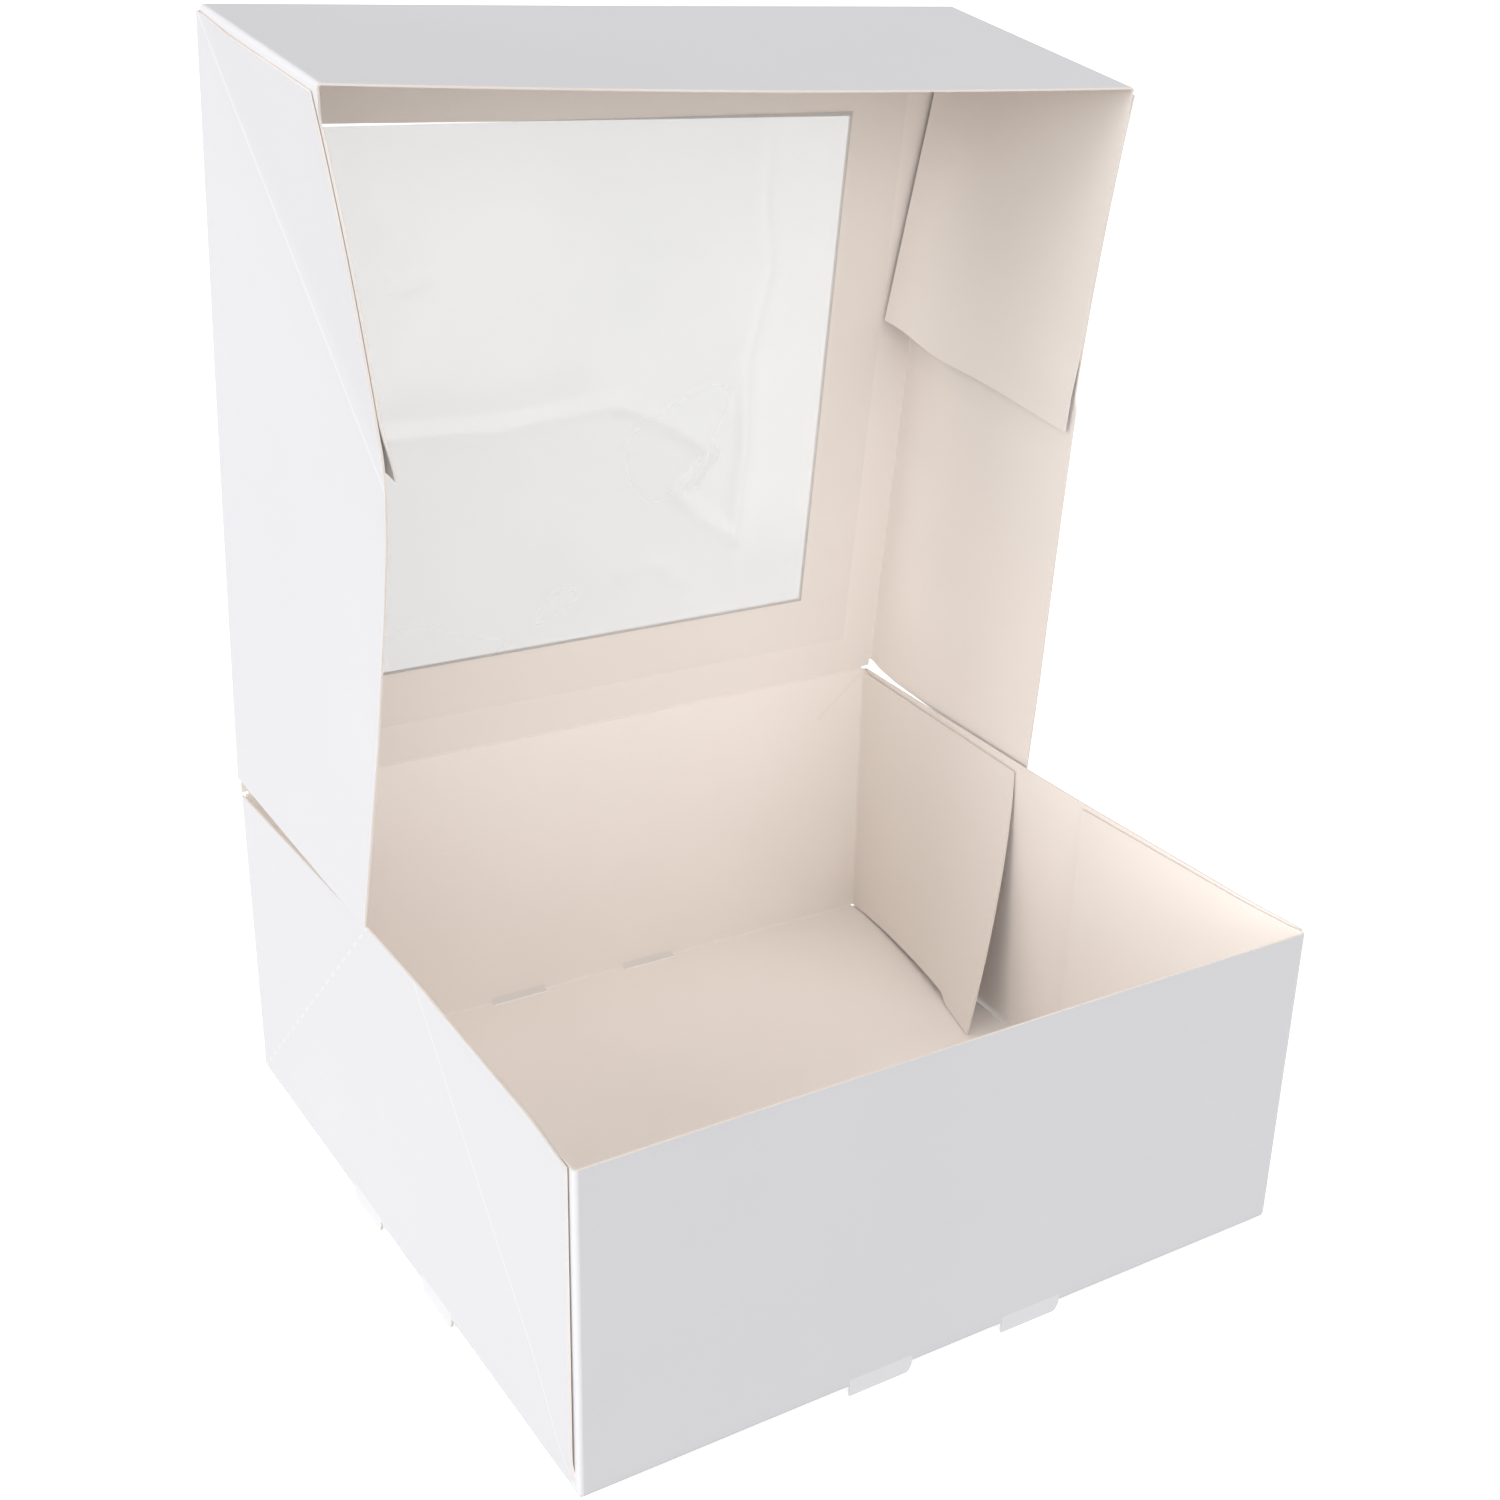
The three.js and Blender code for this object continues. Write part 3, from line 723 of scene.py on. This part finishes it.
def board(name, c_low, c_high, rough, creases, fibre=1.0, painted_crease_tone=(0.9, 0.9, 0.91), depth=2.4):
    mat, nt, bsdf = principled(name)
    tc = nt.nodes.new("ShaderNodeTexCoord").outputs["Object"]
    broad = noise(nt, tc, 14, 3, 0.5)
    fine = noise(nt, tc, 1500, 4, 0.6)
    grain = noise(nt, tc, 420, 3, 0.6, stretch=(1.0, 1.0, 3.2))
    mix = math_node(nt, "ADD", math_node(nt, "MULTIPLY", broad, 0.7), math_node(nt, "MULTIPLY", fine, 0.3))
    col = ramp(nt, mix, 0.32, 0.68, c_low, c_high)
    height = math_node(nt, "ADD", math_node(nt, "MULTIPLY", fine, 0.35 * fibre), math_node(nt, "MULTIPLY", grain, 0.5 * fibre))
    bump = nt.nodes.new("ShaderNodeBump")
    bump.inputs["Strength"].default_value = 0.35
    bump.inputs["Distance"].default_value = 0.00008
    if creases:
        uv_ = nt.nodes.new("ShaderNodeUVMap")
        uv_.uv_map = "board_mm"
        sep = nt.nodes.new("ShaderNodeSeparateXYZ")
        nt.links.new(uv_.outputs["UV"], sep.inputs[0])
        U, V_ = sep.outputs[0], sep.outputs[1]
        front = line(nt, math_node(nt, "SUBTRACT", U, V_), 0.9)
        rear = line(nt, math_node(nt, "SUBTRACT", math_node(nt, "SUBTRACT", U, 1000.0), V_), 0.8)
        # the rear crease of the tray walls is perforated
        dash = math_node(nt, "SINE", math_node(nt, "MULTIPLY", V_, 2 * math.pi / 4.2))
        dash = math_node(nt, "GREATER_THAN", dash, -0.1)
        rear = math_node(nt, "MULTIPLY", rear, dash)
        crease = math_node(nt, "ADD", front, rear, clamp=True)
        height = math_node(nt, "SUBTRACT", height, math_node(nt, "MULTIPLY", crease, depth))
        # painted light along the creases: the crease tone is lighter than the board on the outside face (painted
        # highlight) and darker on the inside face (painted shade)
        painted_crease_mix = nt.nodes.new("ShaderNodeMix")
        painted_crease_mix.data_type = "RGBA"
        nt.links.new(math_node(nt, "MULTIPLY", crease, 0.55), painted_crease_mix.inputs["Factor"])
        nt.links.new(col, painted_crease_mix.inputs["A"])
        painted_crease_mix.inputs["B"].default_value = (*painted_crease_tone, 1)
        col = painted_crease_mix.outputs["Result"]
    nt.links.new(height, bump.inputs["Height"])
    nt.links.new(bump.outputs["Normal"], bsdf.inputs["Normal"])
    nt.links.new(col, bsdf.inputs["Base Color"])
    rr = nt.nodes.new("ShaderNodeMapRange")
    rr.inputs["To Min"].default_value = rough - 0.06
    rr.inputs["To Max"].default_value = rough + 0.06
    nt.links.new(broad, rr.inputs["Value"])
    nt.links.new(rr.outputs["Result"], bsdf.inputs["Roughness"])
    bsdf.inputs["Specular IOR Level"].default_value = 0.4
    return mat


# crease tones: painted highlight on the outside face, painted shade on the inside face
outside = board("board_outside", (0.622, 0.619, 0.640), (0.648, 0.645, 0.666), 0.5, True, painted_crease_tone=(0.75, 0.75, 0.77), depth=1.0)
inside_m = board("board_inside", (0.922, 0.856, 0.806), (0.952, 0.889, 0.84), 0.75, True, fibre=1.6, painted_crease_tone=(0.86, 0.80, 0.75), depth=1.8)
edge_m = board("board_edge", (0.80, 0.71, 0.64), (0.90, 0.84, 0.79), 0.9, False, fibre=2.0)
# near-white: a painted highlight along the slot rims
slot_rim_highlight_m = board("slot_rim_painted_highlight", (0.95, 0.95, 0.95), (0.97, 0.97, 0.97), 0.6, False)
BOARD = [outside, inside_m, edge_m, slot_rim_highlight_m]

film_m, nt, bsdf = principled("film_clear")
tc = nt.nodes.new("ShaderNodeTexCoord").outputs["Object"]
haze = noise(nt, tc, 9, 2, 0.5)
col = ramp(nt, haze, 0.3, 0.7, (0.55, 0.56, 0.56), (0.70, 0.70, 0.695))
uv_ = nt.nodes.new("ShaderNodeUVMap")
uv_.uv_map = "board_mm"
sep = nt.nodes.new("ShaderNodeSeparateXYZ")
nt.links.new(uv_.outputs["UV"], sep.inputs[0])
# the film turns lighter where the UV x channel carries the painted reflection patch
painted_reflection_mix = nt.nodes.new("ShaderNodeMix")
painted_reflection_mix.data_type = "RGBA"
nt.links.new(math_node(nt, "MULTIPLY", sep.outputs[0], 0.6), painted_reflection_mix.inputs["Factor"])
nt.links.new(col, painted_reflection_mix.inputs["A"])
painted_reflection_mix.inputs["B"].default_value = (0.79, 0.79, 0.78, 1)
nt.links.new(painted_reflection_mix.outputs["Result"], bsdf.inputs["Base Color"])
rr = nt.nodes.new("ShaderNodeMapRange")
rr.inputs["To Min"].default_value = 0.09
rr.inputs["To Max"].default_value = 0.15
nt.links.new(noise(nt, tc, 40, 3, 0.5), rr.inputs["Value"])
nt.links.new(rr.outputs["Result"], bsdf.inputs["Roughness"])
bsdf.inputs["Alpha"].default_value = 0.4
bsdf.inputs["Specular IOR Level"].default_value = 0.9
bsdf.inputs["IOR"].default_value = 1.55

# where the film is bonded to the board round the window it hardly shows
bond_m, nt, bsdf = principled("film_bond")
tc = nt.nodes.new("ShaderNodeTexCoord").outputs["Object"]
nt.links.new(ramp(nt, noise(nt, tc, 60, 3), 0.3, 0.7, (0.93, 0.88, 0.84), (0.96, 0.91, 0.87)), bsdf.inputs["Base Color"])
rr = nt.nodes.new("ShaderNodeMapRange")
rr.inputs["To Min"].default_value = 0.2
rr.inputs["To Max"].default_value = 0.34
nt.links.new(noise(nt, tc, 90, 3, 0.5), rr.inputs["Value"])
nt.links.new(rr.outputs["Result"], bsdf.inputs["Roughness"])
bsdf.inputs["Alpha"].default_value = 0.03
bsdf.inputs["Specular IOR Level"].default_value = 0.3

# ---------------------------------------------------------------- pieces
tray_ob = tray.make("tray_board", BOARD)
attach(tray_ob, "tray")
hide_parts("tray")

hinge_ob = hinge.make("hinge_crease", BOARD)
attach(hinge_ob, "tray")
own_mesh(hinge_ob)

panel_ob = panel.make("lid_board", BOARD, place_lid)
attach(panel_ob, "lid")
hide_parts("lid")

for side, name, build, flat_x in (
    (-1, "lid_side_left", lid_side, LW - T / 2),
    (1, "lid_side_right", lid_side, LW - T / 2),
    (-1, "lid_flap_left", lid_flap, LW - T / 2 - 0.12),
    (1, "lid_flap_right", lid_flap, LW - T / 2 - 0.12),
):
    ob = build(side).make(name, BOARD, place_lid)
    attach(ob, "lid")
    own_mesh(ob)

film_ob = film.make("window_sheet", [film_m, bond_m], place_lid)
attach(film_ob, "lid")
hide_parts("window_film")

# ---------------------------------------------------------------- stage and light
WORLD = 0.48
GLOW = 0.56
LIGHTS = (
    ("key_left", (-25.5, 4.0, 5.5), 20.0, 4650),
    ("mid_left", (-24.0, -4.0, 10.0), 20.0, 1830),
    ("low_front_left", (-14.0, -24.0, 2.5), 20.0, 2560),
    ("front", (2.0, -26.0, 6.4), 20.0, 1250),
    ("high_front", (0.0, -16.0, 24.0), 20.0, 2150),
)

floor_me = bpy.data.meshes.new("floor")
n_ = 48
ring = [(40 * math.cos(2 * math.pi * k / n_), 40 * math.sin(2 * math.pi * k / n_), 0.0) for k in range(n_)]
floor_me.from_pydata(ring, [], [list(range(n_))])
floor = bpy.data.objects.new("floor", floor_me)
scene.collection.objects.link(floor)
fm, nt, bsdf = principled("floor_pale")
tc = nt.nodes.new("ShaderNodeTexCoord").outputs["Object"]
nt.links.new(ramp(nt, noise(nt, tc, 3, 2), 0.3, 0.7, (0.93, 0.93, 0.93), (0.95, 0.95, 0.95)), bsdf.inputs["Base Color"])
bsdf.inputs["Roughness"].default_value = 0.9
bsdf.inputs["Specular IOR Level"].default_value = 0.1
bsdf.inputs["Emission Color"].default_value = (1, 1, 1, 1)
bsdf.inputs["Emission Strength"].default_value = GLOW
floor_me.materials.append(fm)
floor.visible_diffuse = False  # the floor shows white without lighting the box from below

world = bpy.data.worlds.new("studio")
scene.world = world
world.use_nodes = True
world.node_tree.nodes["Background"].inputs["Color"].default_value = (1, 1, 1, 1)
world.node_tree.nodes["Background"].inputs["Strength"].default_value = WORLD


def softbox(name, pos, size, power):
    """A square light that faces the box from far enough to light it evenly."""
    data = bpy.data.lights.new(name, "AREA")
    data.shape = "SQUARE"
    data.size = size
    data.energy = power
    ob = bpy.data.objects.new(name, data)
    scene.collection.objects.link(ob)
    p = np.array(pos, float)
    z = p - np.array([0, 0, 0.12])
    z /= np.linalg.norm(z)
    x = np.cross([0, 1.0, 0] if abs(z[2]) > 0.9 else [0, 0, 1.0], z)
    x /= np.linalg.norm(x)
    y = np.cross(z, x)
    m_ = np.eye(4)
    m_[:3, 0], m_[:3, 1], m_[:3, 2], m_[:3, 3] = x, y, z, p
    ob.matrix_world = Matrix(m_.tolist())


for light in LIGHTS:
    if light[3] > 0:
        softbox(*light)

scene.view_settings.view_transform = "Standard"
scene.view_settings.look = "None"
scene.view_settings.exposure = 0.0
scene.view_settings.gamma = 1.0
